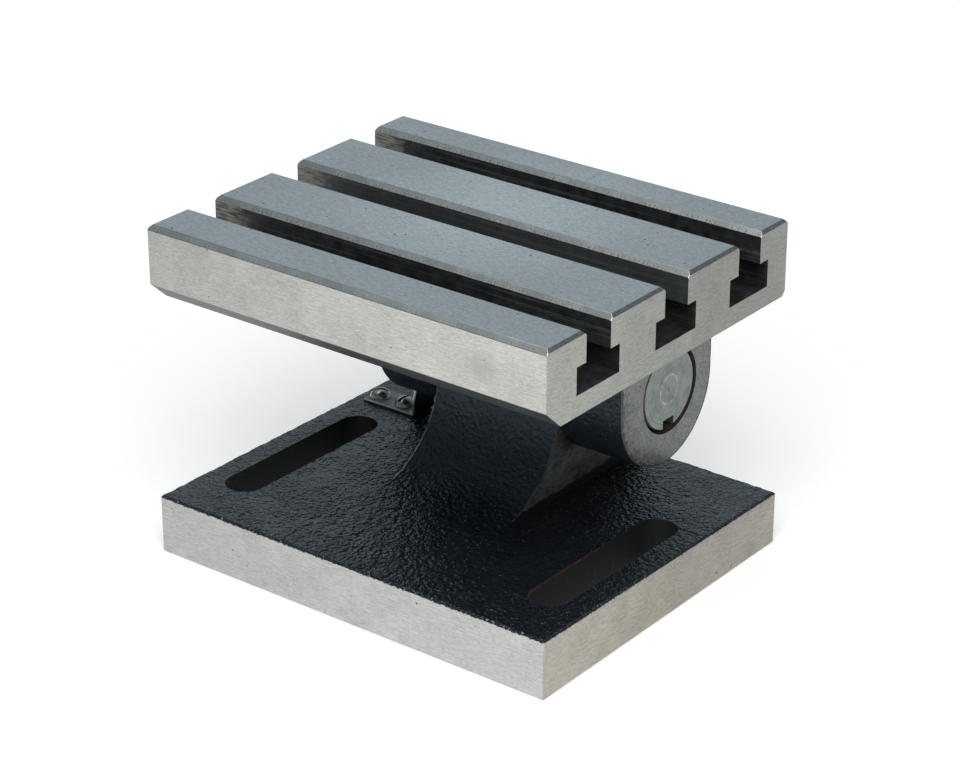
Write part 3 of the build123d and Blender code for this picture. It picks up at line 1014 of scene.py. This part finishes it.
ridge = profile_edges(thread_bm, [
    on_axis(thread_start, shank_radius - thread_depth),
    on_axis(thread_start - thread_pitch / 2, shank_radius),
    on_axis(thread_start - thread_pitch, shank_radius - thread_depth),
])
bmesh.ops.spin(
    thread_bm, geom=[*thread_bm.verts, *ridge], cent=hinge, axis=(1, 0, 0),
    dvec=(-thread_pitch / thread_steps, 0, 0), angle=2 * pi * thread_turns,
    steps=thread_steps * thread_turns, use_merge=False, use_duplicate=False,
)
bmesh.ops.remove_doubles(thread_bm, verts=thread_bm.verts, dist=part_weld)
for vert in thread_bm.verts:
    vert.co.x = max(vert.co.x, bolt_low.x)
    allowed = shank_radius - max(0.0, end_chamfer - (vert.co.x - bolt_low.x))
    out = vert.co - on_axis(vert.co.x, 0)
    if out.length > allowed:
        vert.co = on_axis(vert.co.x, 0) + out.normalized() * allowed
bmesh.ops.recalc_face_normals(thread_bm, faces=thread_bm.faces)
join_part(bolt_bm, thread_bm)
TURNED, OILY = range(2)
for face in bolt_bm.faces:
    in_head = face.calc_center_median().x > seat_x
    face.material_index = OILY if in_head and abs(face.normal.x) < 0.8 else TURNED
pivot_bolt = piece_from(bolt_bm, "turned_bolt", [turned_steel(), oily_bore], radians(28))
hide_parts("pivot_bolt")
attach(pivot_bolt, "table")

# Bolt key
# A small square key of dark, oily steel with its corners just broken. It is driven into the
# counterbore's floor, and stops the bolt from turning with the nut.
key_round = 0.2 * mm


def blackened_steel(name, dark, light):
    """Steel blackened in oil, rubbed paler in places."""
    material, tree, shader, place = new_material(name)
    clouds = grain(tree, place, 2.4 * mm, detail=4.0, roughness=0.6)
    colour = mixed(tree, ramp(tree, clouds, 0.3, 0.72), dark, light)
    roughness = scaled(tree, clouds, 0.25, 0.28)
    finish_shader(tree, shader, colour, roughness, clouds, 0.03 * mm, metallic=0.8)
    return material


key_bm = welded_copy("bolt_key")
round_edges(key_bm, list(key_bm.edges), key_round)
key_steel = blackened_steel("key_steel", shade(0.02, 0.018, 0.016), shade(0.07, 0.06, 0.05))
bolt_key = piece_from(key_bm, "square_key", [key_steel])
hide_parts("bolt_key")
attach(bolt_key, "table")

# Clamp washer
# A thick washer turned from bare steel. It lies between the left ear's faced end and the nut, and
# spreads the nut's pull over the ear.
washer_round = 0.12 * mm
washer_bm = welded_copy("clamp_washer")
round_edges(washer_bm, sharp_edges(washer_bm, radians(35)), washer_round)
clamp_washer = piece_from(washer_bm, "thick_washer", [pivot_bolt.data.materials[TURNED]])
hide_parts("clamp_washer")
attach(clamp_washer, "table")

# Clamp nut
# A full-height hexagon nut of blackened steel, its corners turned off at both ends. It pulls the ears
# on to the pedestal and holds the table at its angle.
nut_round = 0.15 * mm
NUT_EDGE = 1
nut_bm = welded_copy("clamp_nut")
round_edges(nut_bm, sharp_edges(nut_bm, radians(40)), nut_round, NUT_EDGE)
clamp_nut = piece_from(
    nut_bm, "hexagon_nut",
    [
        blackened_steel("nut_steel", shade(0.03, 0.03, 0.032), shade(0.11, 0.11, 0.112)),
        blackened_steel("nut_edge_steel", shade(0.10, 0.10, 0.10), shade(0.34, 0.34, 0.33)),
    ],
)
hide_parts("clamp_nut")
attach(clamp_nut, "clamp_nut")

# Studio
# A plain pale floor, soft lamps overhead and by the camera, and a grey-blue room, lightest at the
# back left. The camera stands where the photograph was taken from.
camera_place = Vector((0.61257, -0.78689, 0.53675))
camera_aim = Vector((0.00516, 0.0, 0.06762))
window = Vector((-0.54, 0.70, 0.47))
window_focus = 12.0
lamp_aim = Vector((0, 0, 0.05))
lamp_white = (1.0, 0.985, 0.965)
floor_half = 6.0
camera = bpy.data.objects.new("camera", bpy.data.cameras.new("camera"))
camera.data.sensor_width = 36.0
camera.data.lens = 112.32
camera.location = camera_place
camera.rotation_euler = (camera_aim - camera_place).to_track_quat("-Z", "Y").to_euler()
bpy.context.scene.collection.objects.link(camera)
bpy.context.scene.camera = camera
bpy.context.scene.view_settings.view_transform = "Standard"


def soft_lamp(name, place, size, power):
    lamp = bpy.data.lights.new(name, "AREA")
    lamp.shape = "SQUARE"
    lamp.size = size
    lamp.energy = power
    lamp.color = lamp_white
    holder = bpy.data.objects.new(name, lamp)
    holder.location = place
    holder.rotation_euler = (lamp_aim - Vector(place)).to_track_quat("-Z", "Y").to_euler()
    bpy.context.scene.collection.objects.link(holder)


soft_lamp("overhead_lamp", (-0.1, -0.1, 2.1), size=1.8, power=12.0)
soft_lamp("camera_lamp", (0.38, -0.52, 0.86), size=0.6, power=7.2)

world = bpy.data.worlds.new("grey_room")
world.use_nodes = True
room = world.node_tree
towards = add(room, "TexCoord", {}).outputs["Generated"]
facing = add(room, "VectorMath", {0: towards, 1: window}, operation="DOT_PRODUCT").outputs["Value"]
lightness = calc(room, "POWER", calc(room, "MAXIMUM", facing, 0.0), window_focus)
wall = mixed(room, lightness, shade(0.18, 0.204, 0.218), shade(0.70, 0.80, 0.85))
room.links.new(wall, room.nodes["Background"].inputs["Color"])
bpy.context.scene.world = world


def pale_floor():
    """White floor that takes the object's soft shadow, and looks white to the camera and in metal."""
    material = bpy.data.materials.new("pale_floor")
    material.use_nodes = True
    tree = material.node_tree
    tree.nodes.remove(tree.nodes["Principled BSDF"])
    path = add(tree, "LightPath", {}).outputs
    seen = calc(tree, "ADD", path["Is Camera Ray"], path["Is Glossy Ray"])
    seen = calc(tree, "MINIMUM", calc(tree, "ADD", seen, path["Is Transmission Ray"]), 1.0)
    lit = add(tree, "BsdfDiffuse", {"Color": shade(0.8, 0.8, 0.79)})
    place = add(tree, "TexCoord", {}).outputs["Object"]
    away = add(tree, "VectorMath", {0: place}, operation="LENGTH").outputs["Value"]
    white = scaled(tree, ramp(tree, away, 0.14, 0.60), 0.20, 0.38)
    white = scaled(tree, ramp(tree, away, 0.5, 2.0), 0.25, white)
    strength = times(tree, seen, white)
    glow = add(tree, "Emission", {"Color": shade(1, 1, 1), "Strength": strength})
    both = add(tree, "AddShader", {0: lit.outputs[0], 1: glow.outputs[0]})
    tree.links.new(both.outputs[0], tree.nodes["Material Output"].inputs["Surface"])
    return material


floor_bm = bmesh.new()
bmesh.ops.create_grid(floor_bm, x_segments=1, y_segments=1, size=floor_half)
floor = piece_from(floor_bm, "floor", [pale_floor()])
